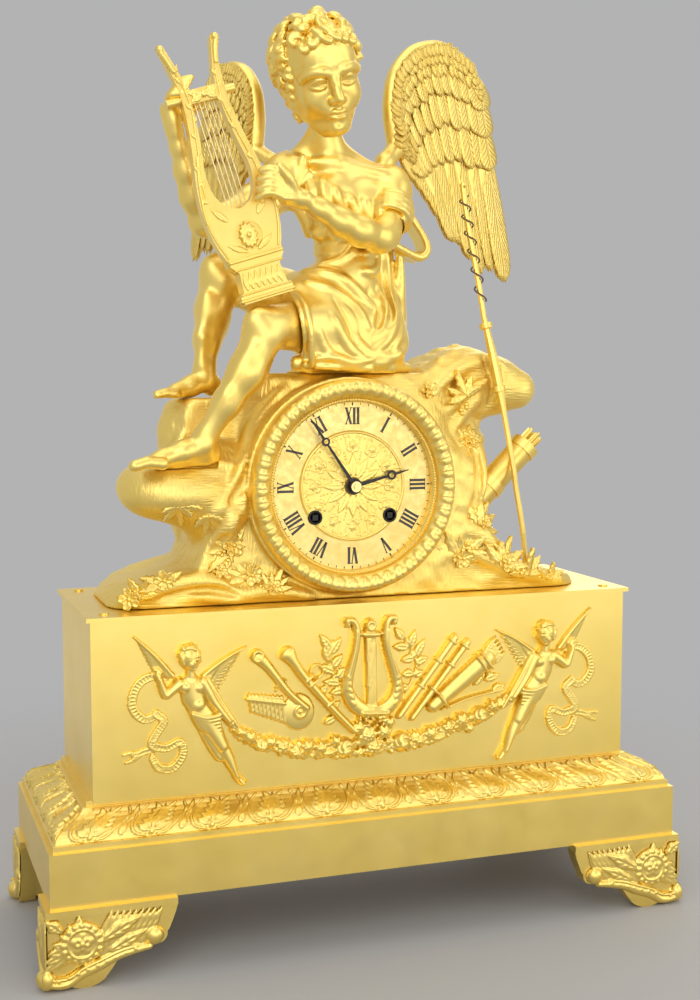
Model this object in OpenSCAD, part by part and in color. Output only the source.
// Figural mantel clock in gilt brass.
// A winged youth sits on a rock and plays a lyre. The rock is a hollow casting that holds a
// round striking movement with dial, bell and back door. It stands on a hollow plinth with
// applied reliefs, on a wider base with a moulding and four scrolled feet.
// +Z is up, the dial faces -Y, and the origin is on the floor under the middle of the base.

/* [Base and feet] */
// Width of the base box
base_w = 400; // [385:1:420]
// Depth of the base box
base_d = 151.5; // [146:0.5:162]
// Height of the base box
base_h = 31.5; // [27:0.5:36]
// Wall of the sheet parts and castings of base and plinth
wall = 2.5; // [2:0.1:3]
// Height of the feet
foot_h = 46; // [43:0.5:50]
// Length of a foot along the front
foot_w = 75; // [72:1:90]
// Length of a foot along the side
foot_side = 32; // [30:1:38]
// How far a foot stands out from the base
foot_out = 3; // [2:0.5:4]
// Thickness of a foot's bracket
foot_t = 10; // [8:0.5:11]
// Radius of the large scroll of a foot
scroll_r = 17.5; // [16:0.5:18]
// Radius of the corner ball of a foot
ball_r = 6.5; // [5:0.5:7]

/* [Moulding and plinth] */
// Height of the moulding between base and plinth
mould_h = 21.5; // [19:0.5:25]
// Step from the base's face back to the moulding
mould_step = 2.5; // [2:0.5:4]
// Step from the moulding's upper edge back to the plinth
plinth_step = 3.25; // [2:0.25:5]
// Width of the plinth box
plinth_w = 344; // [330:1:352]
// Depth of the plinth box
plinth_d = 112; // [108:1:116]
// Height of the plinth box
plinth_h = 105; // [95:1:115]
// Overhang of the plinth's top plate
top_over = 2.5; // [1.5:0.5:4]

/* [Rock] */
// Thickness of the hollow rock casting
rock_wall = 5; // [4:0.5:6]
// Distance from the clock's middle plane to the rock's flat front round the dial
rock_front = 44; // [42:0.5:46]
// Distance from the clock's middle plane to the rock's flat back
rock_back = 46; // [44:0.5:50]

/* [Dial] */
// Sideways place of the dial's centre
dial_x = -10.5; // [-14:0.5:-7]
// Height of the dial's centre above the plinth top
dial_up = 70; // [68:0.5:72]
// Outer radius of the bezel
bezel_r = 64.5; // [63:0.5:65.5]
// Radius of the dial that shows inside the bezel
dial_r = 51; // [50:0.5:52]
// Radius of the raised centre of the dial
centre_r = 33.8; // [31:0.2:36]
// Thickness of the dial
dial_t = 1.2; // [1:0.1:1.5]
// Length of the minute hand
minute_len = 50; // [44:0.5:50]
// Length of the hour hand
hour_len = 36.6; // [30:0.5:40]
// Radius of the winding holes
key_hole_r = 4.5; // [4:0.1:5]

/* [Movement] */
// Radius of the two round plates
plate_r = 50; // [49.5:0.1:50.5]
// Thickness of the plates
plate_t = 2.5; // [2:0.1:3]
// Free height between the plates
plate_gap = 28.5; // [28.5:0.1:30]
// Radius of a mainspring barrel
barrel_r = 14.6; // [13:0.1:14.8]
// Radial play of a running shaft in its hole
play = 0.05; // [0.03:0.01:0.08]
// Length of the pendulum from its pivot to the middle of the bob
pendulum_len = 127; // [122:0.5:130]
// Radius of the pendulum bob
bob_r = 14; // [11:0.5:16]
// Outer radius of the bell
bell_r = 36; // [32:0.5:38]

/* [Figure] */
// Radius of the head without the hair
head_r = 26; // [24:0.5:28]
// Radius of one curl of hair
curl_r = 7.6; // [6:0.1:8.5]
// Number of curls
curl_count = 30; // [22:1:40]
// Radius of the thigh at the hip
thigh_r = 20; // [18:0.5:22]
// Radius of the calf
calf_r = 11.5; // [10:0.5:13]
// Radius of the upper arm
arm_r = 9.6; // [8.5:0.1:10.5]
// Gap that a casting leaves round the piece it holds
fit_gap = 0.2; // [0.1:0.05:0.3]

/* [Lyre, bow and quiver] */
// Length of the lyre's arms
lyre_len = 126; // [118:1:132]
// Thickness of the lyre
lyre_t = 8; // [6:0.5:10]
// Number of strings
string_count = 5; // [4:1:7]
// Radius of a string
string_r = 0.45; // [0.4:0.05:0.6]
// Radius of the bow's limb
bow_r = 1.9; // [1.6:0.1:2.4]
// Radius of the cord round the bow
cord_r = 0.55; // [0.45:0.05:0.7]
// Turns of the cord round the bow
cord_turns = 6; // [5:1:9]
// Radius of the quiver
quiver_r = 9.75; // [8.5:0.25:10.5]
// Length of the quiver
quiver_len = 62; // [56:1:66]

/* [Hidden] */

gold = "goldenrod";
brass = "darkgoldenrod";
steel = "slategray";
blued = "midnightblue";

// Heights of the stack, from the floor up
base_z = foot_h;
mould_z = base_z + base_h;
plinth_z = mould_z + mould_h;
top_z = plinth_z + plinth_h;
rock_z = top_z + wall;
dial_z = rock_z + dial_up;

// Depths of the dial and movement, front to back
dial_y = -rock_front - 2;
plate_y = dial_y + 7;
back_plate_y = plate_y + plate_t + plate_gap;
pendulum_y = back_plate_y + plate_t + 10;
bell_y = pendulum_y + 9;
collar_r = bezel_r - 6.8;

// Points on a cubic curve
function bez(a, b, c, d, n) = [for (i = [0:n]) let (t = i / n, s = 1 - t)
    s * s * s * a + 3 * s * s * t * b + 3 * s * t * t * c + t * t * t * d];

// Points on an arc round c, from angle a0 to angle a1
function arc(c, r, a0, a1, n) = [for (i = [0:n]) let (a = a0 + (a1 - a0) * i / n)
    c + r * [cos(a), sin(a)]];

// A plate parallel to the dial, drawn as seen from the front, between two depths
module upright(y0, y1) {
    translate([0, y1, 0])
        rotate([90, 0, 0])
            linear_extrude(y1 - y0)
                children();
}

// A round bar along Y
module bar_y(r, y0, y1, x = 0, z = 0) {
    translate([x, y1, z])
        rotate([90, 0, 0])
            cylinder(r = r, h = y1 - y0, $fn = 44);
}

// A ring or disc turned about Y; the outline is drawn as [radius, depth behind the dial plane]
module turned_y(outline) {
    rotate([-90, 0, 0])
        rotate_extrude($fn = 96)
            polygon(outline);
}

// Part of a limb: two balls with a skin drawn over them. A point is [x, y, z, radius]
module link(a, b, g = 0, n = 10) {
    hull() {
        translate([a[0], a[1], a[2]])
            sphere(r = a[3] + g, $fn = n);
        translate([b[0], b[1], b[2]])
            sphere(r = b[3] + g, $fn = n);
    }
}

module limb(points, g = 0, n = 10) {
    for (i = [0:len(points) - 2])
        link(points[i], points[i + 1], g, n);
}

module at_dial() {
    translate([dial_x, 0, dial_z])
        children();
}

// Feet
foot_front = concat([[1.5, foot_h - 4], [1.5, 20]],
    arc([4 + scroll_r, scroll_r - 0.3], scroll_r, 176, 312, 16),
    bez([34, 5.5], [42, 14], [44, 25], [55.5, 29.5], 6),
    arc([foot_w - 11.8, 25.8], 5.7, 160, 370, 14),
    bez([foot_w - 5, 28], [foot_w - 3, 33], [foot_w - 1, 37], [foot_w, foot_h - 4], 4));
foot_flank = concat([[1.5, foot_h - 4], [1.5, 14]],
    arc([10.5, 9], 9.3, 185, 310, 10),
    bez([17, 2.5], [25, 10], [26, 26], [foot_side, foot_h - 4], 6));

// One foot, drawn for the front left corner with the corner at the origin
module foot_form() {
    foot_plate = 4;
    difference() {
        union() {
            translate([0, 0, foot_h - foot_plate])
                cube([foot_w, foot_side, foot_plate]);
            translate([0, foot_t + 1, 0])
                rotate([90, 0, 0])
                    linear_extrude(foot_t)
                        polygon(foot_front);
            translate([1, 0, 0])
                rotate([90, 0, 90])
                    linear_extrude(foot_t)
                        polygon(foot_flank);
            // Corner ball and the rosette boss on the large scroll
            translate([1.2, 5.2, ball_r - 0.2])
                sphere(r = ball_r, $fn = 32);
            translate([4 + scroll_r, 1.5, scroll_r + 8])
                rotate([90, 0, 0])
                    cylinder(r1 = scroll_r * 0.66, r2 = scroll_r * 0.5, h = 2.4, $fn = 48);
        }
        translate([-20, -20, -20])
            cube([foot_w + 40, foot_side + 40, 20]);
        foot_screw_places(foot_h - foot_plate - 1, 1.8, foot_plate + 2);
    }
}

module foot_screw_places(z, r, h) {
    for (x = [24, foot_w - 16])
        translate([x, foot_side - 8, z])
            cylinder(r = r, h = h, $fn = 32);
}

// Puts a foot drawn at the origin under one corner: sx and sy are -1 or 1
module at_corner(sx, sy) {
    translate([sx * (base_w / 2 + foot_out), sy * (base_d / 2 + foot_out), 0])
        mirror([sx > 0 ? 1 : 0, 0, 0])
            mirror([0, sy > 0 ? 1 : 0, 0])
                children();
}

module foot_front_left() {
    color(gold)
        at_corner(-1, -1)
            foot_form();
}

module foot_front_right() {
    color(gold)
        at_corner(1, -1)
            foot_form();
}

module foot_back_left() {
    color(gold)
        at_corner(-1, 1)
            foot_form();
}

module foot_back_right() {
    color(gold)
        at_corner(1, 1)
            foot_form();
}

// Two screws a foot, put in from inside the base
module foot_screws() {
    color(steel)
        for (sx = [-1, 1], sy = [-1, 1])
            at_corner(sx, sy) {
                foot_screw_places(foot_h - 4, 1.8 - play, 4 + wall);
                foot_screw_places(foot_h + wall, 3.4, 2);
            }
}

// Base, moulding and plinth
module block(w, d, z0, z1) {
    translate([-w / 2, -d / 2, z0])
        cube([w, d, z1 - z0]);
}

lug = 14;
lug_x = plinth_w / 2 - wall - lug / 2;
lug_y = plinth_d / 2 - wall - lug / 2;

module lower_base() {
    color(gold)
        difference() {
            union() {
                difference() {
                    block(base_w, base_d, base_z, mould_z);
                    block(base_w - 2 * wall, base_d - 2 * wall, base_z - 1, mould_z - wall);
                }
                // Pads that the feet are screwed to
                for (sx = [-1, 1], sy = [-1, 1])
                    at_corner(sx, sy)
                        translate([foot_out + 1, foot_out + 1, foot_h])
                            cube([foot_w - foot_out - 1, foot_side - foot_out - 1, wall]);
            }
            block(2 * lug_x - 2 * lug, 2 * lug_y - 22, mould_z - wall - 1, mould_z + 1);
            for (sx = [-1, 1], sy = [-1, 1]) {
                at_corner(sx, sy)
                    foot_screw_places(foot_h - 1, 2, wall + 2);
                translate([sx * lug_x, sy * lug_y, mould_z - wall - 1])
                    cylinder(r = 2.2, h = wall + 2, $fn = 32);
            }
        }
}

// Half widths of the moulding from its foot up: two fillets with a leaf-covered ogee between
mould_run = base_w / 2 - mould_step - plinth_w / 2 - plinth_step;
mould_side = concat([[0, 0], [0, 3.6], [-1.5, 4.2]],
    bez([-1.5, 4.2], [-3, mould_h * 0.62], [-mould_run * 0.62, mould_h * 0.42], [-mould_run + 2,
        mould_h - 3.4], 8),
    [[-mould_run + 2, mould_h - 3], [-mould_run, mould_h - 3], [-mould_run, mould_h]]);

// A mitred box moulding is what two crossed prisms of the same outline have in common
module mitred(half_w, half_d, side, h) {
    intersection() {
        translate([0, half_d * 2, mould_z])
            rotate([90, 0, 0])
                linear_extrude(half_d * 4)
                    polygon(concat([for (p = side) [half_w + p[0], p[1]]],
                        [for (i = [len(side) - 1:-1:0]) [-half_w - side[i][0], side[i][1]]]));
        translate([-half_w * 2, 0, mould_z])
            rotate([90, 0, 90])
                linear_extrude(half_w * 4)
                    polygon(concat([for (p = side) [half_d + p[0], p[1]]],
                        [for (i = [len(side) - 1:-1:0]) [-half_d - side[i][0], side[i][1]]]));
    }
}

module base_moulding() {
    lip = 2 * (plinth_step + wall + 3);
    color(gold)
        difference() {
            mitred(base_w / 2 - mould_step, base_d / 2 - mould_step, mould_side, mould_h);
            // The casting is hollow: the same form again, smaller, taken out from below
            translate([0, 0, -3])
                mitred(base_w / 2 - mould_step - 4, base_d / 2 - mould_step - 4,
                    concat([[0, -1]], [for (p = mould_side) if (p[1] > 0) p]), mould_h);
            block(plinth_w - lip, plinth_d - lip, mould_z - 1, plinth_z + 1);
            for (sx = [-1, 1], sy = [-1, 1])
                translate([sx * lug_x, sy * lug_y, mould_z])
                    cylinder(r = 3, h = mould_h + 1, $fn = 32);
        }
}

stud_places = [[-130, 165], [-104, 133], [130, 165], [104, 133], [-40, 124], [40, 124], [0, 150]];

module plinth_box() {
    color(gold)
        difference() {
            union() {
                difference() {
                    block(plinth_w, plinth_d, plinth_z, top_z);
                    block(plinth_w - 2 * wall, plinth_d - 2 * wall, plinth_z - 1, top_z + 1);
                }
                for (sx = [-1, 1], sy = [-1, 1])
                    translate([sx * lug_x - lug / 2, sy * lug_y - lug / 2, plinth_z])
                        cube([lug, lug, 12]);
                for (sx = [-1, 1], sy = [-1, 1])
                    translate([sx * lug_x - lug / 2, sy * lug_y - lug / 2, top_z - 10])
                        cube([lug, lug, 10]);
            }
            for (sx = [-1, 1], sy = [-1, 1])
                translate([sx * lug_x, sy * lug_y, plinth_z - 1])
                    cylinder(r = 1.9, h = plinth_h + 2, $fn = 32);
            for (p = stud_places)
                bar_y(1.3, -plinth_d / 2 - 1, -plinth_d / 2 + wall + 1, p[0], mould_z + p[1] - 77.5);
        }
}

module plinth_top() {
    color(gold)
        difference() {
            block(plinth_w + 2 * top_over, plinth_d + 2 * top_over, top_z, rock_z);
            // Slot for the pendulum
            translate([dial_x, pendulum_y, top_z - 1])
                linear_extrude(wall + 2)
                    square([58, 20], center = true);
            for (x = rock_stud_x)
                translate([x, 0, top_z - 1])
                    cylinder(r = 2.7, h = wall + 2, $fn = 32);
            for (sx = [-1, 1], sy = [-1, 1])
                translate([sx * lug_x, sy * lug_y, top_z - 1])
                    cylinder(r = 2, h = wall + 2, $fn = 32);
        }
}

// Four long screws join base, moulding and plinth; four short ones hold the top plate
module plinth_screws() {
    color(steel)
        for (sx = [-1, 1], sy = [-1, 1])
            translate([sx * lug_x, sy * lug_y, 0]) {
                translate([0, 0, mould_z - wall - 2])
                    cylinder(r = 4, h = 2, $fn = 32);
                translate([0, 0, mould_z - wall])
                    cylinder(r = 1.9 - play, h = wall + mould_h + 11, $fn = 32);
                translate([0, 0, top_z - 9])
                    cylinder(r = 1.9 - play, h = 9 + wall, $fn = 32);
                translate([0, 0, rock_z])
                    cylinder(r = 3, h = 1, $fn = 32);
            }
}

// Reliefs on the plinth's front
relief_y = -plinth_d / 2;
relief_z = mould_z - 77.5;

// The part of a relief in front of the plinth
module on_plinth() {
    difference() {
        translate([0, relief_y, relief_z])
            children();
        translate([-plinth_w / 2, relief_y, plinth_z - 10])
            cube([plinth_w, 20, plinth_h + 40]);
    }
}

// A pointed leaf or feather lying on the front: root, tip, half width, thickness
module blade(a, b, w, t) {
    d = unit(b - a);
    m = a * 0.45 + b * 0.55;
    s = [-d[1], d[0]] * w;
    upright(-t, 1)
        polygon([a, m + s, b, m - s]);
}

ribbon = concat(bez([-132, 167], [-152, 166], [-152, 150], [-143, 147], 3),
    bez([-136, 145], [-126, 142], [-140, 133], [-142, 126], 3),
    bez([-138, 120], [-124, 118], [-118, 130], [-127, 138], 3));

// A small winged child with a ribbon, hovering and holding the garland's end
module cherub_form() {
    link([-115.6, -3.5, 181.2, 7.2], [-114.6, -3, 170, 3.6], 0, 10);
    link([-118.5, -2, 162.5, 6.2], [-110, -2, 162, 6.2], 0, 8);
    limb([[-113.5, -1.5, 160, 7.4], [-110, -1.5, 151, 6.6], [-105.5, -1.5, 143, 7.2]], 0, 8);
    limb([[-103.8, -2, 140, 6], [-95.5, -2.2, 126, 4], [-86.5, -1.6, 106, 2.4]], 0, 8);
    limb([[-107.4, -1, 138, 5.4], [-99.5, -0.6, 122.4, 3.4]], 0, 6);
    limb([[-107.5, -2, 165, 3.4], [-101, -2.4, 153.5, 2.8], [-91.4, -2, 140, 2.2]], 0, 6);
    limb([[-121, -2, 164, 3.4], [-129.5, -2, 158, 2.9], [-131, -2, 166.5, 2.4]], 0, 6);
    for (i = [0:2]) {
        blade([-119, 170 - i * 2], [-146 + i * 8, 191.5 - i * 9], 5, 2.4 - i * 0.3);
        blade([-111, 170 - i * 2], [-80 - i * 8, 183.6 - i * 7], 5, 2.4 - i * 0.3);
    }
    for (i = [0:len(ribbon) - 2])
        let (a = ribbon[i], b = ribbon[i + 1], d = unit(b - a), s = [-d[1], d[0]] * 2)
            upright(-2, 1)
                polygon([a - s - d, a + s - d, b + s + d, b - s + d]);
}

module cherub_mount_left() {
    color(gold)
        on_plinth()
            cherub_form();
}

module cherub_mount_right() {
    color(gold)
        on_plinth()
            mirror([1, 0, 0])
                cherub_form();
}

// Half the outline of the small lyre, from its foot up to its horn and down the inner edge
small_lyre = concat([[8, 136]], bez([8, 140], [20, 146], [28, 154], [19, 172], 6),
    bez([19, 172], [13, 182], [14, 186], [18, 191], 4), [[16, 195], [11, 193]],
    bez([9, 187], [8, 182], [10, 176], [14, 168], 4), bez([14, 168], [21, 156], [16, 150], [4, 146], 5),
    [[4, 190], [2, 193]]);

// Lyre, laurel, pipes, torches and a garland of flowers that hangs between the children
module trophy_form() {
    n = len(small_lyre);
    upright(-4, 1)
        polygon(concat(small_lyre, [for (i = [n - 1:-1:0]) [-small_lyre[i][0], small_lyre[i][1]]]));
    for (m = [0, 1])
        mirror([m, 0, 0]) {
            // Laurel sprays beside the lyre
            for (i = [0:3]) {
                blade([18 - i * 0.6, 151 + i * 9], [33 + i * 1.4, 157 + i * 9], 3, 1.6);
                blade([19 - i * 0.6, 149 + i * 9], [20 + i * 3, 162 + i * 9], 2.6, 2.1);
            }
            // Two crossed pipes or torches on each side, which widen upwards
            link([9, -1.5, 132, 2.4], [52, -2.5, 176, 3.6], 0, 6);
            link([50, -2.4, 174, 3.2], [58, -3, 182, 5.6], 0, 6);
            link([18, -1, 129, 2.6], [70, -2, 169, 4.6], 0, 6);
            link([44, -1, 141, 8.5], [64, -1, 149, 7], 0, 8);
            // Garland: it grows towards the middle
            for (i = [0:3])
                let (t = i / 4, u = (i + 1.2) / 4)
                    link([-88 * (1 - t), -0.5 - i * 0.1, 134 - 17 * sin(90 * t), 4.6 + 3.4 * t],
                        [-88 * (1 - u), -0.6 - i * 0.1, 134 - 17 * sin(90 * u), 4.4 + 3.4 * u], 0, 8);
        }
}

module trophy_mount() {
    color(gold)
        on_plinth()
            trophy_form();
}

// Studs that hold the reliefs, with a nut each inside the plinth
module mount_studs() {
    color(brass)
        for (p = stud_places) {
            bar_y(1.3 - play, relief_y, relief_y + wall + 4, p[0], p[1] + relief_z);
            bar_y(3, relief_y + wall, relief_y + wall + 2, p[0], p[1] + relief_z);
        }
}

// Rock
// Left and right edge of the rock at each height above the plinth
rock_left = [[0, -157], [8, -153], [14, -143], [19, -127], [23, -113], [28, -106], [35, -103], [43, -105],
    [51, -108], [57, -112], [68, -116], [103, -116], [139, -108]];
rock_right = [[0, 152], [9, 135], [15, 117], [23, 102], [32, 94], [40, 87], [76, 87], [99, 92], [109, 93], [124,
    102], [139, 105]];
rock_rows = [0, 8, 14, 19, 23, 28, 35, 43, 57, 78, 88, 100, 124, 139];
rock_sides = 20;

function ease(t) = let (u = max(0, min(1, t))) u * u * (3 - 2 * u);

// One level of the rock: a soft-cornered rectangle with a slow wave, drawn in by g. Its upper
// levels sink towards the ledge at the left and rise to the log end at the right
function rock_ring(z, g, n) = let (xl = lookup(z, rock_left) + g, xr = lookup(z, rock_right) - g,
    yf = -rock_front + 1.5 + g + max(0, z - 112) * 0.3, yb = rock_back - 1.5 - g - max(0, z - 112) * 0.25)
    [for (i = [0:n - 1]) let (a = 360 * (i + 0.5) / n, c = cos(a), s = sin(a),
        w = 1.5 * sin(3 * a + z * 4),
        x = (xl + xr) / 2 + (xr - xl + w) / 2 * sign(c) * pow(abs(c), 0.62))
        [x, (yf + yb) / 2 + (yb - yf) / 2 * sign(s) * pow(abs(s), 0.5) * rock_slim(x, z),
        z + pow(z / 139, 3) * (17 * ease((x - 38) / 42) - 16 * ease((-72 - x) / 10))]];

// The rock is slimmer behind the shin at the left and at the log end at the right
function rock_slim(x, z) = 1 - 0.45 * ease((-30 - x) / 50) * ease((z - 84) / 16)
    - 0.5 * ease((x - 40) / 50) * ease((z - 70) / 40);

function mean(v) = [for (p = v) 1] * v / len(v);

// A boulder: a ball stretched to its own half width, depth and height
module boulder(c, r) {
    translate(c)
        scale(r)
            sphere(r = 1, $fn = 14);
}

// Ridges on the front, as [x, height, radius] from their left ends: up beside the dial, along the foot
rock_ridges = [[[-90, 60, 4.5], [-82, 69, 4.5], [-74, 85, 4.5], [-62, 109, 4.5], [-50, 127, 3]],
    [[-104, 8, 2.8], [-84, 6, 2.8], [-58, 8, 2.8], [-34, 3, 2.8]]];

// Boulders under the near foot, ledge under the far foot, broken log end, ridges
module rock_piles() {
    translate([0, 0, rock_z]) {
        boulder([-118, -27, 68], [31.5, 26.5, 18]);
        boulder([-128, -22, 72], [21, 24, 14]);
        boulder([-98, -22, 62], [24, 22, 19]);
        boulder([-97, 4, 99], [22, 18, 25]);
        link([74, -4, 131, 18], [101, -8, 129, 19], 0, 12);
        link([100, -10, 131, 17], [114, -13, 127, 13], 0, 12);
        for (r = rock_ridges, i = [0:len(r) - 2])
            link([r[i][0], 1 - rock_front, r[i][1], r[i][2]], [r[i + 1][0], 1 - rock_front, r[i + 1][1], r[i
                + 1][2]], 0, 6);
    }
}

// A closed skin over rings of equally many points, with a middle point in each end
module loft(rings) {
    n = len(rings[0]);
    m = len(rings);
    polyhedron(points = concat([for (r = rings, p = r) p], [mean(rings[0]), mean(rings[m - 1])]),
        faces = concat([for (i = [0:n - 1]) [i, (i + 1) % n, n * m]],
            [for (j = [0:m - 2], i = [0:n - 1]) let (k = (i + 1) % n) each
                [[j * n + i, (j + 1) * n + k, j * n + k], [j * n + i, (j + 1) * n + i, (j + 1) * n + k]]],
            [for (i = [0:n - 1]) [(m - 1) * n + (i + 1) % n, (m - 1) * n + i, n * m + 1]]));
}

// Heights of the flat pads cut for the soles of the two feet, from the seat
left_pad = -56;
right_pad = -15.6;

rock_stud_x = [-120, 100];

module rock_case() {
    color(gold)
        difference() {
            union() {
                translate([0, 0, rock_z])
                    loft([for (z = rock_rows) rock_ring(z, 0, rock_sides)]);
                rock_piles();
                // Flat rims that carry the front and back bezels
                at_dial() {
                    bar_y(bezel_r + 1, -rock_front, 0);
                    bar_y(58, 0, rock_back);
                }
            }
            // The casting is hollow and open below, with a cross bar over each stud
            difference() {
                translate([0, 0, rock_z - 1])
                    loft([for (z = [0, 13, 18, 22, 30, 44, 104, 139 - rock_wall]) rock_ring(z, rock_wall, 14)]);
                for (x = rock_stud_x)
                    translate([x - 7, -60, rock_z - 2])
                        cube([14, 120, 18]);
            }
            translate([-250, -150, rock_z - 60])
                cube([500, 300, 60]);
            at_dial() {
                bar_y(bezel_r + 0.5, -rock_front - 20, -rock_front);
                bar_y(collar_r + 0.3, -rock_front - 9, 1);
                bar_y(52.4, 0, rock_back + 9);
            }
            for (x = rock_stud_x)
                translate([x, 0, rock_z - 1])
                    cylinder(r = 2.5, h = 14, $fn = 16);
            at_seat() {
                translate([-140, -70, left_pad])
                    cube([62, 62, 60]);
                translate([-112, -12, right_pad])
                    cube([48, 40, 60]);
                translate([-62, -100, 0])
                    cube([120, 200, 60]);
            }
            quiver_form(0.3);
            // Groove and socket in which the bow leans and stands
            bow_form(0.4);
        }
}

module rock_studs() {
    color(steel)
        for (x = rock_stud_x)
            translate([x, 0, 0]) {
                translate([0, 0, top_z - 8])
                    cylinder(r = 2.4, h = 8 + wall + 12, $fn = 32);
                translate([0, 0, top_z - 4])
                    cylinder(r = 5, h = 4, $fn = 6);
            }
}

// Bezels, dial and hands
module front_bezel() {
    f = -rock_front;
    color(gold)
        difference() {
            at_dial()
                turned_y([[dial_r, f - 6], [dial_r + 0.8, f - 7], [dial_r + 2, f - 7], [dial_r + 2.6,
                    f - 6.5],
                    [dial_r + 4, f - 8.5], [dial_r + 7, f - 11.2], [dial_r + 9.5, f - 11.6],
                        [bezel_r - 2, f - 10],
                    [bezel_r - 0.6, f - 7], [bezel_r, f - 4], [bezel_r, f], [collar_r, f], [collar_r,
                        plate_y + plate_t],
                    [plate_r + 0.3, plate_y + plate_t], [plate_r + 0.3, plate_y], [plate_r - 3.4,
                        plate_y],
                    [plate_r - 3.4, plate_y - 2], [dial_r + 0.7, plate_y - 2], [dial_r + 0.7,
                        dial_y - 0.2],
                    [dial_r, dial_y - 0.2]]);
            // Recesses for the two bars that come from the back bezel
            for (a = [-1, 1])
                translate([dial_x + a * (collar_r - 2.4), plate_y + plate_t - 3, dial_z])
                    rotate([-90, 0, 0])
                        cylinder(r = 1.2, h = 6, $fn = 32);
        }
}

// Distance of the door's hinge from the dial's middle
hinge_out = 61.5;

module back_bezel() {
    b = rock_back;
    color(gold) {
        at_dial()
            turned_y([[48, b], [58, b], [58, b + 1.5], [55.5, b + 3.5], [53, b + 4], [52.6, b + 2],
                [48, b + 2]]);
        // Knuckles of the door's hinge
        for (z = [-12, 8])
            difference() {
                translate([dial_x - hinge_out - 2.5, b, dial_z + z])
                    cube([hinge_out - 52, 1.5, 8]);
                translate([dial_x - hinge_out, b + 3.2, dial_z + z - 1])
                    cylinder(r = 1 + play, h = 10, $fn = 32);
            }
        for (z = [-12, 8])
            translate([dial_x - hinge_out, b + 3.2, dial_z + z])
                difference() {
                    translate([-2.5, -3.2, 0])
                        cube([5, 5.6, 8]);
                    translate([0, 0, -1])
                        cylinder(r = 1 + play, h = 10, $fn = 32);
                }
    }
}

strap_t = 1.5;

// Two bars join the bezels through the rock, so they clamp it between them
module case_straps() {
    color(brass)
        for (a = [-1, 1])
            translate([dial_x + a * (plate_r + 1.1) - strap_t / 2, plate_y + plate_t + 0.05, dial_z - 3])
                cube([strap_t, rock_back - plate_y - plate_t - 0.1, 6]);
}

key_x = 24;
key_z = -18.5;

module dial_ring() {
    color("khaki")
        difference() {
            at_dial()
                turned_y([[centre_r + 0.05, dial_y], [dial_r + 0.6, dial_y], [dial_r + 0.6,
                    dial_y + dial_t],
                    [centre_r + 0.05, dial_y + dial_t]]);
            at_dial()
                for (s = [-1, 1])
                    bar_y(key_hole_r, dial_y - 1, dial_y + dial_t + 1, s * key_x, key_z);
        }
}

// Raised middle of the dial, with three feet that reach the front plate
module dial_centre() {
    color(gold)
        at_dial()
            difference() {
                union() {
                    turned_y([[0, dial_y - 0.6], [centre_r - 0.6, dial_y - 0.6], [centre_r, dial_y],
                        [centre_r, dial_y + dial_t], [0, dial_y + dial_t]]);
                    for (a = [60, 180, 300])
                        bar_y(1.2, dial_y + dial_t, plate_y, 28 * sin(a), 28 * cos(a));
                }
                bar_y(4.2, dial_y - 2, dial_y + dial_t + 1);
                for (s = [-1, 1])
                    bar_y(key_hole_r, dial_y - 2, dial_y + dial_t + 1, s * key_x, key_z);
            }
}

// A hand that points up: a tapered blade, a pierced moon and a fine point
module hand_outline(len, hub, moon, w) {
    difference() {
        union() {
            circle(r = hub, $fn = 48);
            polygon([[-w, 0], [w, 0], [w * 0.55, len * 0.62], [-w * 0.55, len * 0.62]]);
            translate([0, len * 0.62 + moon * 0.8])
                circle(r = moon, $fn = 32);
            polygon([[-w * 0.8, len * 0.66], [w * 0.8, len * 0.66], [0.25, len], [-0.25, len]]);
        }
        circle(r = hub - 1.6, $fn = 48);
        translate([0.2, len * 0.62 + moon * 0.8])
            circle(r = moon * 0.55, $fn = 32);
    }
}

minute_angle = -34.4;
hour_angle = 75.3;

module minute_hand() {
    color(blued)
        at_dial()
            rotate([0, minute_angle, 0])
                upright(dial_y - 5.6, dial_y - 4.8)
                    hand_outline(minute_len, 3.6, 2.6, 1.1);
}

module hour_hand() {
    color(blued)
        at_dial()
            rotate([0, hour_angle, 0])
                upright(dial_y - 3.6, dial_y - 2.8)
                    hand_outline(hour_len, 5, 3, 1.3);
}

// Movement
// Distance between two wheels in mesh
function mesh_gap(m, a, b) = m * (a + b) / 2;

// Turn that puts wheel b in mesh with wheel a, seen from the front and counted clockwise
function mesh_turn(dir, turn_a, a, b) = dir + 180 - (0.5 - (dir - turn_a) * a / 360) * 360 / b;

// Place at a distance d and a clockwise direction from upright
function polar(d, dir) = d * [sin(dir), cos(dir)];

m_main = 0.42;
m_centre = 0.35;
m_third = 0.32;
m_motion = 0.45;
m_hour = m_motion * (14 + 42) / (10 + 40);

escape_up = 22;
pallet_up = 37.4;
barrel_at = [key_x, key_z];
second_dir = 94.4;
second_at = polar(mesh_gap(m_main, 72, 10), second_dir);
third_dir = -37.3;
third_at = polar(mesh_gap(m_centre, 84, 7), third_dir);
escape_at = [0, escape_up];
motion_dir = 180;
motion_at = polar(mesh_gap(m_motion, 14, 42), motion_dir);

function dir_to(a, b) = atan2(b[0] - a[0], b[1] - a[1]);

// A toothed wheel, one tooth straight up before its turn. thin is the tooth's share of the pitch
module gear(teeth, m, turn, y0, y1, thin = 0.36, hole = 0) {
    r = m * teeth / 2;
    tip = r + m * 0.8;
    root = r - m * 1.2;
    p = 360 / teeth;
    upright(y0, y1)
        rotate(-turn)
            difference() {
                polygon([for (i = [0:teeth - 1], k = [[root, -0.62], [r, -0.5], [tip, -0.2], [tip,
                    0.2], [r, 0.5],
                    [root, 0.62]]) k[0] * [sin(i * p + k[1] * p * thin), cos(i * p + k[1] * p * thin)]]);
                if (hole > 0)
                    circle(r = hole, $fn = 48);
            }
}

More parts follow.
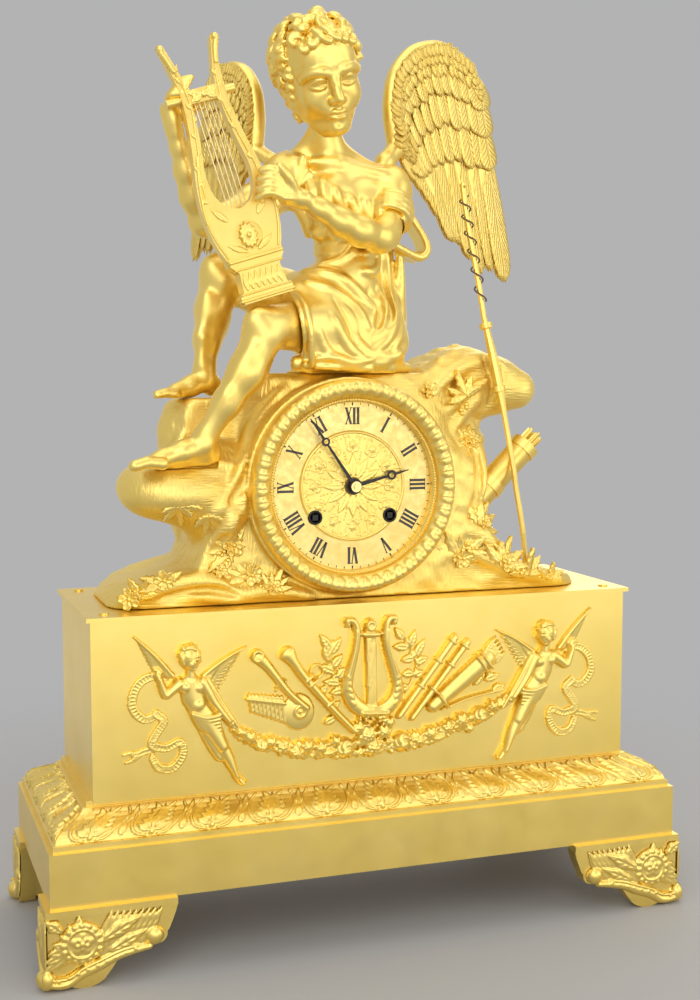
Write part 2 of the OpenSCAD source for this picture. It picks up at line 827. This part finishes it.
// A crossed-out wheel keeps a rim, a hub and four arms
module wheel(teeth, m, turn, y0, y1, hub, bore) {
    r = m * teeth / 2;
    rim = r - m * 1.2 - 1.6;
    difference() {
        gear(teeth, m, turn, y0, y1, 0.36, bore);
        for (k = [0:3])
            rotate([0, turn + 45 + 90 * k, 0])
                translate([0, y1 + 1, 0])
                    rotate([90, 0, 0])
                        linear_extrude(y1 - y0 + 2)
                            polygon(concat(arc([0, 0], rim, 53, 127, 10), arc([0, 0], hub, 115, 65, 6)));
    }
}

module at_gear(p) {
    translate([dial_x + p[0], 0, dial_z + p[1]])
        children();
}

// Pivot holes through a plate: place and radius of the shaft
arbors = [[barrel_at, 2.4], [[-key_x, key_z], 2.4], [second_at, 0.8], [[0, 0], 1.3], [third_at, 0.8],
    [escape_at, 0.8], [[0, pallet_up], 0.9]];
pillar_at = [[-33, 30], [33, 30], [-43.5, -10], [43.5, -10]];

module plate(y0) {
    difference() {
        upright(y0, y0 + plate_t)
            circle(r = plate_r, $fn = 96);
        for (a = arbors)
            bar_y(a[1] + play, y0 - 1, y0 + plate_t + 1, a[0][0], a[0][1]);
        for (p = pillar_at)
            bar_y(1.5, y0 - 1, y0 + plate_t + 1, p[0], p[1]);
    }
}

module front_plate() {
    color(brass)
        at_dial()
            plate(plate_y);
}

module back_plate() {
    color(brass)
        at_dial()
            difference() {
                plate(back_plate_y);
                bar_y(0.8 + play, back_plate_y - 1, back_plate_y + plate_t + 1, hammer_at[0],
                    hammer_at[1]);
            }
}

module pillars() {
    color(brass)
        at_dial()
            for (p = pillar_at) {
                bar_y(3, plate_y + plate_t, back_plate_y, p[0], p[1]);
                bar_y(1.5 - play, plate_y - 1, back_plate_y + plate_t + 1.5, p[0], p[1]);
            }
}

inner = plate_y + plate_t;

// Mainspring barrel with its great wheel, closed by a cap
module barrel_form(turn) {
    gear(76, m_main, turn, inner + 2.4, inner + 4, 0.36, 2.4 + play);
    difference() {
        bar_y(barrel_r, inner + 4, back_plate_y - 4);
        bar_y(2.4 + play, inner + 3, back_plate_y - 3);
    }
}

module going_barrel() {
    color(brass)
        at_gear(barrel_at)
            barrel_form(mesh_turn(dir_to(second_at, barrel_at), 0, 12, 76));
}

module strike_barrel() {
    color(brass)
        at_gear([-key_x, key_z])
            barrel_form(0);
}

// Arbor with its winding square in front and its ratchet wheel on the front plate
module winder_form() {
    bar_y(2.4, plate_y - 1.6, back_plate_y + plate_t);
    upright(dial_y - 1, plate_y - 1.6)
        square(3.4, center = true);
    upright(plate_y - 1.6, plate_y - 0.3)
        polygon([for (i = [0:23]) each [7 * [sin(15 * i), cos(15 * i)], 6 * [sin(15 * i + 1.5),
            cos(15 * i + 1.5)]]]);
}

module winding_arbor_going() {
    color(steel)
        at_gear(barrel_at)
            winder_form();
}

module winding_arbor_strike() {
    color(steel)
        at_gear([-key_x, key_z])
            winder_form();
}

// Clicks that hold the ratchets, each with its screw in the front plate
module ratchet_clicks() {
    color(steel)
        for (s = [-1, 1])
            at_gear([s * key_x, key_z])
                translate([s * -1.5, 0, -10.5]) {
                    upright(plate_y - 1.6, plate_y)
                        polygon([[-5.5, -1.5], [-5, 1.2], [0, 3], [1, 1.5], [4.5, 0.5], [4, -2]]);
                    bar_y(1.6, plate_y - 2.4, plate_y - 1.6, -3, 0);
                }
}

// Second wheel: its pinion is driven by the great wheel, its wheel drives the centre pinion
module second_wheel() {
    color(brass)
        at_gear(second_at) {
            bar_y(0.8, plate_y, back_plate_y + plate_t);
            gear(12, m_main, 0, inner + 2, inner + 5, 0.3);
            wheel(72, m_main, mesh_turn(second_dir, 0, 10, 72), back_plate_y - 2.8, back_plate_y - 1.6,
                3, 0.5);
        }
}

// Centre arbor: back pinion, centre wheel, and the front pipe that carries the minute hand
module centre_wheel() {
    color(brass)
        at_dial() {
            bar_y(1.3, plate_y, back_plate_y + plate_t);
            bar_y(1.6, dial_y - 8.4, plate_y);
            bar_y(3.2, dial_y - 7.4, dial_y - 5.6);
            gear(10, m_main, 0, back_plate_y - 3.6, back_plate_y - 0.8, 0.3);
            wheel(84, m_centre, 0, inner + 14, inner + 15.2, 3, 1);
            gear(14, m_motion, 0, plate_y - 1.8, plate_y - 0.5, 0.32);
        }
}

module third_wheel() {
    color(brass)
        at_gear(third_at) {
            bar_y(0.8, plate_y, back_plate_y + plate_t);
            gear(7, m_centre, mesh_turn(third_dir, 0, 84, 7), inner + 13, inner + 16.2, 0.3);
            wheel(77, m_third, 0, inner + 9, inner + 10, 2.6, 0.5);
        }
}

// Escape wheel with pointed teeth
module escape_wheel() {
    n = 38;
    r = 10.6;
    color(brass)
        at_gear(escape_at) {
            bar_y(0.8, plate_y, back_plate_y + plate_t);
            gear(7, m_third, mesh_turn(dir_to(third_at, escape_at), 0, 77, 7), inner + 8, inner + 11,
                0.3);
            upright(inner + 22, inner + 23)
                difference() {
                    polygon([for (i = [0:n - 1]) let (a = 360 * i / n) each [r * [sin(a), cos(a)],
                        (r - 1.5) * [sin(a + 2.2), cos(a + 2.2)], (r - 1.5) * [sin(a + 7.4),
                            cos(a + 7.4)]]]);
                    for (k = [0:3])
                        rotate(90 * k)
                            polygon(concat(arc([0, 0], r - 2.8, 56, 124, 8), arc([0, 0], 3, 115, 65, 4)));
                }
        }
}

// Pallets above the escape wheel, and the crutch that leads the pendulum behind the back plate
module pallets() {
    d = pallet_up - escape_up;
    color(steel)
        at_gear([0, pallet_up]) {
            bar_y(0.9, plate_y, back_plate_y + plate_t + 5);
            upright(inner + 21.6, inner + 23.4)
                difference() {
                    polygon(concat(arc([0, -d], 15.4, 48, 132, 12), [[-8.8, -5.6]], arc([0, -d], 12.2,
                        124, 56, 10),
                        [[8.8, -5.6]]));
                    circle(r = 0.5, $fn = 16);
                }
            upright(back_plate_y + plate_t + 2, back_plate_y + plate_t + 3)
                polygon([[-2, 1.5], [2, 1.5], [1, -30], [-1, -30]]);
            // Fork: two fingers beside the pendulum rod
            for (s = [-1, 1])
                translate([s * 2.2 - 0.6, back_plate_y + plate_t + 2, -30])
                    cube([1.2, pendulum_y - back_plate_y - plate_t + 1, 2]);
            translate([-2.8, back_plate_y + plate_t + 2, -30])
                cube([5.6, 1.5, 2]);
        }
}

// Motion work between plate and dial: minute wheel with pinion, hour wheel with pipe
module minute_wheel() {
    color(brass)
        at_gear(motion_at) {
            gear(42, m_motion, mesh_turn(motion_dir, 0, 14, 42), plate_y - 1.7, plate_y - 0.7, 0.32,
                0.8 + play);
            gear(10, m_hour, 0, plate_y - 4.4, plate_y - 1.7, 0.3, 0.8 + play);
        }
}

module hour_wheel() {
    color(brass)
        at_dial() {
            gear(40, m_hour, mesh_turn(0, 0, 10, 40), plate_y - 4.2, plate_y - 3.2, 0.36, 1.6 + play);
            difference() {
                bar_y(3.4 - play, dial_y - 3.8, plate_y - 3.2);
                bar_y(1.6 + play, dial_y - 5, plate_y - 2);
            }
        }
}

// Cock that carries the silk suspension and the back pivot of the pallets
module suspension_cock() {
    b = back_plate_y + plate_t;
    color(brass)
        at_gear([0, pallet_up]) {
            difference() {
                union() {
                    upright(b, b + 1.6)
                        polygon([[-12, 4], [12, 4], [12, 8], [-12, 8]]);
                    for (s = [-1, 1])
                        translate([s * 10 - 1.5, b, 4])
                            cube([3, pendulum_y - b + 3, 3.4]);
                    translate([-11.5, pendulum_y - 1, 2.6])
                        cube([23, 4, 5]);
                }
                bar_y(3, b - 1, b + 1.6, 0, 2.2);
            }
            // Rod that the silk hangs from
            translate([-8, pendulum_y, 1.6])
                rotate([0, 90, 0])
                    cylinder(r = 1, h = 16, $fn = 32);
        }
}

// The bob is a lens: two shallow caps of radius bob_lens that leave a rim of 1.2 mm
bob_lens = 30;
bob_edge = acos(bob_r / bob_lens);

// Pendulum: silk loop, hook, rod and bob with its rating nut
module pendulum() {
    color(brass)
        at_gear([0, pallet_up])
            translate([0, pendulum_y, 0]) {
                translate([0, 0, -9.4])
                    cylinder(r = 0.5, h = 9, $fn = 24);
                translate([0, 0, -pendulum_len])
                    cylinder(r = 1.2, h = pendulum_len - 9, $fn = 32);
                translate([0, 0, -pendulum_len])
                    rotate([90, 0, 0])
                        rotate_extrude($fn = 64)
                            polygon(concat(arc([0, 0.6 - bob_lens * sin(bob_edge)], bob_lens, 90,
                                bob_edge, 8),
                                arc([0, bob_lens * sin(bob_edge) - 0.6], bob_lens, -bob_edge, -90, 8)));
                translate([0, 0, -pendulum_len - bob_r - 3])
                    cylinder(r = 2.6, h = 2.6, $fn = 32);
                translate([0, 0, -pendulum_len - bob_r - 3])
                    cylinder(r = 0.9, h = 5, $fn = 24);
            }
}

hammer_at = [-17, 37];

// Hammer: arbor through the back plate, a stem and a round head outside the bell
module hammer() {
    b = back_plate_y + plate_t;
    color(steel)
        at_gear(hammer_at) {
            bar_y(0.8, back_plate_y, b + 21.4);
            upright(b + 20.6, b + 22)
                polygon([[1.8, 0], [-0.2, 1.8], [-13.6, -14], [-12, -15.4]]);
            bar_y(3, b + 19.6, b + 23.6, -12.8, -14.7);
        }
}

bell_at = [2, -2];

// Bell: a turned shell, open to the front, over the pendulum's plane
module bell() {
    color("peru")
        at_gear(bell_at)
            rotate([-90, 0, 0])
                rotate_extrude($fn = 72)
                    polygon(concat([[2.1, bell_y + 15], [2.1, bell_y + 13.6]],
                        arc([bell_r - 16.6, bell_y + 1.6], 12, 90, 12, 8), [[bell_r - 2, bell_y],
                            [bell_r, bell_y]],
                        arc([bell_r - 16.6, bell_y + 1.6], 13.6, 14, 90, 8)));
}

// Post for the bell: it stands on the back plate beside the pendulum's path
module bell_stand() {
    b = back_plate_y + plate_t;
    color(steel)
        at_gear(bell_at) {
            bar_y(2, bell_y + 6, bell_y + 16.5);
            bar_y(4, bell_y + 11.9, bell_y + 13.5);
            bar_y(4, bell_y + 15.05, bell_y + 16.5);
            translate([0, bell_y + 6, -2])
                cube([22, 3, 4]);
            bar_y(2, b, bell_y + 9, 22, 0);
            bar_y(4, b, b + 2, 22, 0);
        }
}

// Back door: a pressed disc with a rim, a hinge knuckle and a turned knob
module back_door() {
    b = rock_back + 4.3;
    color(gold)
        difference() {
            union() {
                at_dial() {
                    turned_y([[0, b], [54, b], [54, b + 1.2], [50, b + 2], [44, b + 2.4], [0, b + 2.4]]);
                    turned_y([[0, b + 2.2], [1.8, b + 2.2], [1.8, b + 4.4], [0, b + 4.4]]);
                    translate([46, 0, 0])
                        turned_y([[0, b], [2, b], [2, b + 4], [3.4, b + 5], [3.4, b + 7], [0, b + 8]]);
                }
                translate([dial_x - hinge_out - 2.5, rock_back + 0.9, dial_z - 3.9])
                    cube([5, 4.7, 11.8]);
                translate([dial_x - hinge_out, b, dial_z - 3.9])
                    cube([12, 1.3, 11.8]);
            }
            translate([dial_x - hinge_out, rock_back + 3.2, dial_z - 5])
                cylinder(r = 1 + play, h = 20, $fn = 32);
        }
}

module door_hinge_pin() {
    color(steel)
        translate([dial_x - hinge_out, rock_back + 3.2, dial_z - 12.6])
            cylinder(r = 1, h = 29.4, $fn = 32);
}

// Figure
// Everything on the figure is measured from its seat, in the middle of the rock's top
seat_up = 138.6;
seat = [dial_x - 4, -8, rock_z + seat_up];

module at_seat() {
    translate(seat)
        children();
}

left_thigh = [[24, 0, 24, thigh_r], [-18, -16, 28, thigh_r - 2], [-50, -35, 26, 13.6]];
left_shin = [[-50, -35, 26, 13.6], [-61, -36, 6, calf_r + 0.6], [-73, -35, -15, calf_r - 1],
    [-87, -33, -38, 7], [-90, -32, -46, 7.4]];
left_foot = [[-87, -29, -51, 7], [-101, -33, -48, 6.6], [-117, -38, -50, 5], [-126, -40, -51.5, 3.4]];
right_thigh = [[6, 20, 28, thigh_r - 1], [-30, 14, 46, thigh_r - 4], [-66, 9, 60, 12]];
right_shin = [[-66, 9, 60, 12], [-71, 10, 40, calf_r], [-74, 9, 22, calf_r - 2.4], [-76, 8, 0, 6.6]];
right_foot = [[-71, 13, -10.5, 6.6], [-84, 5, -11.2, 6.2], [-96, 1, -13.4, 4.6], [-102, 0, -14.2, 3.4]];

module left_leg_form(g = 0) {
    at_seat() {
        limb(left_thigh, g);
        limb(left_shin, g);
        limb(left_foot, g, 8);
        for (i = [0:3])
            link([-119, -33 - i * 3.4, -51, 2.7 - i * 0.2], [-129 + i * 1.4, -32 - i * 4.2, -52.2,
                2.4 - i * 0.2], g, 6);
    }
}

module right_leg_form(g = 0) {
    at_seat() {
        limb(right_thigh, g);
        limb(right_shin, g);
        limb(right_foot, g, 8);
        for (i = [0:3])
            link([-97, 4 - i * 3, -14, 2.6 - i * 0.2], [-105 + i * 1.2, 4.6 - i * 3.7, -15,
                2.4 - i * 0.2], g, 6);
    }
}

// The skirt covers each thigh down to its hem, and the leg starts inside it
module below_hem() {
    difference() {
        children();
        at_seat()
            translate([-26, -60, -40])
                rotate([0, -12, 0])
                    cube([120, 120, 160]);
    }
}

module left_leg() {
    color(gold)
        difference() {
            below_hem()
                left_leg_form();
            at_seat()
                translate([-200, -100, left_pad - 40 + 0.05])
                    cube([150, 100, 40]);
        }
}

module right_leg() {
    color(gold)
        difference() {
            below_hem()
                right_leg_form();
            at_seat()
                translate([-150, -40, right_pad - 40 + 0.05])
                    cube([100, 100, 40]);
        }
}

left_arm_line = [[44, 4, 118, arm_r + 1.4], [40, -8, 104, arm_r], [27, -24, 82, arm_r - 1.6], [24, -27,
    82, arm_r - 1.4],
    [4, -32, 90, arm_r - 1.6], [-20, -36, 98, 5.4], [-30, -38, 102, 5]];
right_arm_line = [[-24, 10, 122, arm_r + 1], [-46, 8, 106, arm_r], [-74, 6, 90, 7.4], [-78, 4, 92, 7.6],
    [-88, -4, 112, 7], [-95, -10, 132, 5], [-98, -13, 140, 5]];

// Four fingers from the palm; each is [base, middle, tip]
left_fingers = [for (i = [0:3]) [[-38, -40, 108 - i * 3.2, 3], [-47, -41 - i, 114.5 - i * 4.2, 2.6],
    [-54 - i * 0.6, -38 - i, 113 - i * 5, 2.2]]];
right_fingers = [for (i = [0:3]) [[-101 + i * 1.4, -20, 146 + i * 4, 2.8], [-99 + i * 1.2, -27,
    153 + i * 4.4, 2.5],
    [-92 + i, -27.5, 158 + i * 4.6, 2.1]]];

module left_arm_form() {
    at_seat() {
        limb(left_arm_line);
        link([-30, -38, 102, 5], [-39, -39, 103, 5.6], 0, 8);
        for (f = left_fingers)
            limb(f, 0, 6);
        limb([[-33, -41, 104, 3], [-40, -44, 112, 2.6]], 0, 6);
    }
}

module right_arm_form() {
    at_seat() {
        limb(right_arm_line);
        link([-98, -13, 140, 5], [-101, -16, 151, 5.8], 0, 8);
        for (f = right_fingers)
            limb(f, 0, 6);
        limb([[-99, -12, 146, 3], [-92, -17, 152, 2.6]], 0, 6);
    }
}

torso_line = [[16, 6, 20, 26], [14, 4, 44, 22], [15, 2, 70, 18.5], [12, 2, 92, 21], [11, 4, 108, 20]];
neck_line = [[6, 0, 128, 9.6], [1, 1, 150, 9.2], [-2, 2, 162, 10]];

// Body with its dress: chest, shoulders, belt, lap and the cloth that hangs behind
module torso_form() {
    at_seat() {
        limb(torso_line, 0, 10);
        limb([[-20, 8, 118, 12], [4, 2, 120, 13], [30, 0, 116, 13]], 0, 10);
        limb([[20, 4, 22, 24], [-22, -15, 30, 20]], 0, 10);
        limb([[8, 18, 26, 22], [-24, 14, 44, 18]], 0, 10);
        // Folds from belt to hem
        for (i = [0:4])
            link([12 + i * 5, -15.5 + i * 1.4, 68, 3], [-26 + i * 12, -33 + i * 1.6, 38 - i * 6, 3.4],
                0, 6);
        // Cloth that falls at the side down to the seat
        for (i = [0:2])
            link([33 - i * 3, -8 + i * 9, 76, 5], [41 - i * 4, -12 + i * 12, 8, 5.6], 0, 6);
        // Cloth end on the rock below the lap
        link([-44, -16, 6, 8], [42, -8, 5, 8], 0, 6);
        // Belt
        translate([15, 2, 78])
            rotate([4, 3, 0])
                cylinder(r = 20.4, h = 5, center = true, $fn = 16);
        // Gathered sleeve and the loop of cloth behind the left arm
        limb([[-22, 6, 124, 12], [-38, 4, 104, 12]], 0, 8);
        limb([[26, 16, 112, 7], [56, 16, 108, 5], [70, 16, 88, 6], [50, 12, 72, 5], [28, 8, 76, 6]], 0,
            6);
        // Lap
        limb([[14, -1, 64, 17], [-14, -14, 34, 20]], 0, 10);
    }
}

module figure_torso() {
    color(gold)
        difference() {
            torso_form();
            translate([-250, -150, rock_z + seat_up - 100])
                cube([500, 300, 100]);
            at_seat() {
                limb(left_thigh, fit_gap);
                limb(right_thigh, fit_gap);
                limb(left_arm_line, fit_gap);
                limb(right_arm_line, fit_gap);
                limb(neck_line, fit_gap);
            }
            wing_roots(fit_gap);
        }
}

module left_arm() {
    color(gold)
        difference() {
            left_arm_form();
            lyre_solid(fit_gap);
            strings_form(fit_gap);
            wing_roots(fit_gap);
        }
}

module right_arm() {
    color(gold)
        difference() {
            right_arm_form();
            lyre_solid(fit_gap);
            strings_form(fit_gap);
        }
}

// Head: tipped to its right and bowed, with a cap of curls set on a spiral
head_at = [-5, -2, 182];
head_tip = [18, -14, 0];

module head_form(g = 0) {
    at_seat() {
        limb(neck_line, g);
        translate(head_at)
            rotate(head_tip) {
                hull() {
                    translate([0, 4, 6])
                        sphere(r = head_r + g, $fn = 14);
                    translate([0, -8, -6])
                        scale([0.8, 0.84, 1])
                            sphere(r = head_r * 0.86 + g, $fn = 12);
                    translate([0, -14, -25])
                        sphere(r = 9.4 + g, $fn = 10);
                }
                // Nose, brow, lips and ears
                link([0, -26, 2, 2.2], [0, -31.5, -9.5, 2.6], g, 6);
                link([-9, -25, 4.6, 2.4], [9, -25, 4.6, 2.4], g, 6);
                link([-4, -26, -17, 1.9], [4, -26, -17, 1.9], g, 6);
                for (s = [-1, 1])
                    link([s * 22, 0, -2, 3.2], [s * 21.5, 1, -9, 2.6], g, 6);
                // Curls on a golden-angle spiral, from the crown down to the nape
                for (i = [0:curl_count - 1])
                    let (t = (i + 0.5) / curl_count, c = 1 - 1.36 * t, s = sqrt(max(0, 1 - c * c)),
                        a = i * 137.5,
                        y = s * sin(a) * (head_r - 0.5) + 4, x = s * cos(a) * (head_r - 0.5),
                            z = c * (head_r - 1) + 7)
                        if (y > -14 || z > 17)
                            translate([x, y, z])
                                sphere(r = curl_r + g, $fn = 6);
            }
    }
}

module figure_head() {
    color(gold)
        head_form();
}

// A wing lies in its own upright plane. Points are [along, up] from its root at the shoulder
wing_lead = concat(bez([2, 0], [-4, 26], [2, 44], [14, 58], 3), bez([26, 66], [40, 68], [58, 58], [76,
    34], 4));
wing_tips = concat(bez([22, -18], [34, -40], [40, -52], [56, -66], 3), bez([68, -76], [80, -84], [92,
    -88], [99, -86], 4));

// A feather lying flat in the wing: root, tip, half width, and the depths of its two faces
module feather(a, b, w, y0, y1) {
    d = unit(b - a);
    s = [-d[1], d[0]];
    upright(y0, y1)
        polygon(concat([a - s * w * 0.5, a + s * w * 0.5], [for (t = [90:-45:-90])
            b - d * w * 1.5 + s * w * sin(t) + d * w * 1.5 * cos(t)]));
}

module wing_form() {
    n = len(wing_lead) - 1;
    // Long feathers, then a tier of coverts over them, each lapped over the next
    for (i = [0:n])
        feather(wing_lead[i] * 0.97 + [0, -3], wing_tips[i], 7.6, 0.9 + i * 0.22, 3.4 + i * 0.22);
    for (i = [0:n])
        let (a = wing_lead[i] * 0.98, b = a + (wing_tips[i] - a) * 0.5)
            feather(a, b, 7.2, -1.2 + i * 0.2, 1.6 + i * 0.2);
    // Leading edge
    for (i = [0:n - 1])
        link([wing_lead[i][0], 1.6, wing_lead[i][1], 5.2 - i * 0.2], [wing_lead[i + 1][0], 1.7,
            wing_lead[i + 1][1],
            4.9 - i * 0.2], 0, 6);
}

module at_left_wing() {
    at_seat()
        translate([52, 21, 143])
            rotate([0, 0, 15])
                children();
}

// The far wing is seen beside the lyre, swung back more than the near one
module at_right_wing() {
    at_seat()
        translate([-36.5, 26, 138])
            rotate([0, 0, -63])
                mirror([1, 0, 0])
                    scale([0.64, 1, 0.8])
                        children();
}

// Tenons by which the wings are let into the back
module wing_roots(g = 0) {
    at_left_wing()
        link([4, 2, 2, 6], [-16, -6, -22, 7], g, 10);
    at_right_wing()
        link([4, 2, 2, 6], [-34.3, 12.3, -22.5, 7], g, 10);
}

module left_wing() {
    color(gold)
        difference() {
            union() {
                at_left_wing()
                    wing_form();
                wing_roots();
            }
            at_seat()
                limb(left_arm_line, fit_gap);
            other_side(1);
        }
}

module right_wing() {
    color(gold)
        difference() {
            union() {
                at_right_wing()
                    wing_form();
                wing_roots();
            }
            at_seat()
                limb(right_arm_line, fit_gap);
            other_side(-1);
        }
}

// All that lies on the far side of the spine from one wing: s is 1 for the left, -1 for the right
module other_side(s) {
    at_seat()
        translate([12 - (s > 0 ? 400 : 0), -200, -100])
            cube([400, 400, 400]);
}

// Lyre
// The lyre stands on the thigh and leans to the figure's right; drawn flat in [across, up]
module at_lyre() {
    at_seat()
        translate([-56.5, -34, 68])
            rotate([-4, -17.1, 0])
                children();
}

// Half outline of one arm: outer edge up, inner edge down
lyre_outer = concat(bez([16.7, 0], [23, 14], [24, 32], [20.3, 50], 7), bez([20.3, 50], [15, 74], [12,
    92], [14.2, 108], 5),
    [[17, lyre_len], [14.6, lyre_len + 1]]);
lyre_inner = concat(bez([9.6, 108], [7, 92], [9, 76], [13.4, 54], 5), bez([13.4, 54], [15, 40], [11,
    30], [0, 28], 7));

module lyre_outline() {
    for (m = [0, 1])
        mirror([m, 0])
            polygon(concat([[0, 0]], lyre_outer, lyre_inner));
}

module lyre_solid(g = 0) {
    at_lyre() {
        upright(-lyre_t / 2 - g, lyre_t / 2 + g)
            lyre_outline();
        upright(-lyre_t / 2 - 2 - g, lyre_t / 2 + 2 + g)
            polygon([[-15, -26 - g], [15, -26 - g], [16.5, -22], [13.6, -19], [12.6, -8], [16.7, -3],
                [16.7, 1],
                [-16.7, 1], [-16.7, -3], [-12.6, -8], [-13.6, -19], [-16.5, -22]]);
        yoke_form(g);
    }
}

yoke_up = 96;

// Yoke: a round bar through both arms with the block that holds the strings
module yoke_form(g = 0) {
    translate([-22, 0, yoke_up])
        rotate([0, 90, 0])
            cylinder(r = 2.6 + g, h = 42, $fn = 32);
    upright(-4 - g, 4 + g)
        translate([-9, yoke_up - 4])
            square([18, 8]);
}

module lyre_frame() {
    color(gold)
        difference() {
            lyre_solid();
            strings_form(0.05);
            at_lyre()
                bar_y(8.6, -lyre_t / 2 - 1, -lyre_t / 2 + 0.6, 0, 12);
        }
}

string_gap = 2.9;

module strings_form(g = 0) {
    at_lyre()
        for (i = [0:string_count - 1])
            translate([(i - (string_count - 1) / 2) * string_gap, 0, 25])
                cylinder(r = string_r + g, h = yoke_up - 27, $fn = 16);
}

module lyre_strings() {
    color(brass)
        strings_form();
}

// Quiver, arrows, bow and cord
quiver_tilt = 45;

module at_quiver() {
    translate([96, -22, rock_z + 70])
        rotate([0, quiver_tilt, 0])
            children();
}

module quiver_form(g = 0) {
    at_quiver()
        translate([0, 0, -quiver_len / 2 - g])
            cylinder(r = quiver_r + g, h = quiver_len + 2 * g, $fn = 24);
}

module quiver() {
    color(gold)
        at_quiver()
            difference() {
                union() {
                    translate([0, 0, -quiver_len / 2])
                        cylinder(r = quiver_r - 1, h = quiver_len, $fn = 48);
                    for (z = [-quiver_len / 2, -8, quiver_len / 2 - 6])
                        translate([0, 0, z])
                            cylinder(r = quiver_r, h = 6, $fn = 48);
                }
                translate([0, 0, -quiver_len / 2 + 4])
                    cylinder(r = quiver_r - 2.6, h = quiver_len, $fn = 48);
            }
}

// A bundle of arrows: round shafts with three vanes each, standing in the quiver
module arrows() {
    color(gold)
        at_quiver()
            for (k = [0:4])
                translate([k == 0 ? 0 : 4.4 * cos(90 * k), k == 0 ? 0 : 4.4 * sin(90 * k),
                    -quiver_len / 2 + 4.2])
                    union() {
                        cylinder(r = 0.9, h = quiver_len + 6, $fn = 16);
                        for (v = [0:2])
                            rotate([0, 0, 120 * v + 15 * k])
                                translate([0.3, -0.4, quiver_len - 9])
                                    cube([1.6, 0.8, 14]);
                    }
}

// The bow's middle line, from its tip beside the wing down to its foot on the rock
bow_foot = [113, -33, 8];
bow_line = concat(bez([76, -13, 257], [77, -14, 236], [84, -17, 208], [88, -20, 174], 5),
    bez([91, -27, 150], [95, -33, 122], [99, -35, 98], [103, -36, 74], 4),
    bez([104, -36, 66], [108, -37, 44], [111, -38, 28], bow_foot, 4));

function bow_radius(i) = i == 0 ? 2.4 : i == 6 || i == 7 ? bow_r + 1.2 : bow_r;

module bow_form(g = 0) {
    translate([0, 0, rock_z])
        for (i = [0:len(bow_line) - 2])
            link(concat(bow_line[i], [bow_radius(i)]), concat(bow_line[i + 1], [bow_radius(i + 1)]), g,
                8);
}

// Bow with the two rings of its grip and a pierced nock at the top
module bow() {
    color(gold)
        difference() {
            union() {
                bow_form();
                for (i = [grip_ring, grip_ring + 2])
                    translate([0, 0, rock_z])
                        translate(bow_line[i] + (i == grip_ring ? [0.8, -1.6, -6] : [0, 0, -2]))
                            rotate([-12, -8, 0])
                                cylinder(r = 4.2, h = 3.4, center = true, $fn = 24);
            }
            translate([76, -13, rock_z + 256])
                rotate([90, 0, 0])
                    cylinder(r = 1, h = 12, center = true, $fn = 12);
            translate([60, -80, rock_z - 34])
                cube([90, 80, 42]);
        }
}

// The cord: one tube that winds loosely down the bow. s runs from 0 at the nock to 1 at the foot
function bow_at(s) = let (u = s * (len(bow_line) - 1), i = min(floor(u), len(bow_line) - 2), f = u - i)
    bow_line[i] * (1 - f) + bow_line[i + 1] * f;
cord_rings = 12 * cord_turns;
// The cord ends this far above the upper ring of the grip, counted in points of bow_line
grip_ring = 5;
cord_clear = 0.5;
cord_start = 0.03;
cord_span = (grip_ring - cord_clear) / (len(bow_line) - 1) - cord_start;
function cord_at(s) = let (r = bow_r + cord_r + 0.8, a = 360 * cord_turns * s)
    bow_at(cord_start + cord_span * s) + [r * cos(a), r * sin(a), rock_z];
cord_points = [for (i = [0:cord_rings]) cord_at(i / cord_rings)];

function unit(v) = v / norm(v);
function cord_ring(i) = let (n = len(cord_points) - 1, t = unit(cord_points[min(i + 1,
    n)] - cord_points[max(i - 1, 0)]),
    u = unit(cross(t, [0, 0.2, 1])), v = cross(u, t))
    [for (k = [0:5]) cord_points[i] + cord_r * (cos(60 * k) * u - sin(60 * k) * v)];

module bow_cord() {
    color("saddlebrown")
        loft([for (i = [0:cord_rings]) cord_ring(i)]);
}

// Least gap between turns, measured on points at least a third of a turn apart
cord_gap = min([for (i = [0:4:cord_rings],
    j = [i + 8:4:cord_rings]) norm(cord_points[i] - cord_points[j])]) - 2 * cord_r;
echo(cord_gap = cord_gap);

foot_front_left();
foot_front_right();
foot_back_left();
foot_back_right();
foot_screws();
lower_base();
base_moulding();
plinth_box();
plinth_top();
plinth_screws();
cherub_mount_left();
cherub_mount_right();
trophy_mount();
mount_studs();
rock_case();
rock_studs();
front_bezel();
back_bezel();
case_straps();
dial_ring();
dial_centre();
front_plate();
back_plate();
pillars();
going_barrel();
strike_barrel();
winding_arbor_going();
winding_arbor_strike();
ratchet_clicks();
second_wheel();
centre_wheel();
third_wheel();
escape_wheel();
pallets();
minute_wheel();
hour_wheel();
minute_hand();
hour_hand();
suspension_cock();
pendulum();
hammer();
bell();
bell_stand();
back_door();
door_hinge_pin();
figure_torso();
figure_head();
left_arm();
right_arm();
left_leg();
right_leg();
left_wing();
right_wing();
lyre_frame();
lyre_strings();
quiver();
arrows();
bow();
bow_cord();
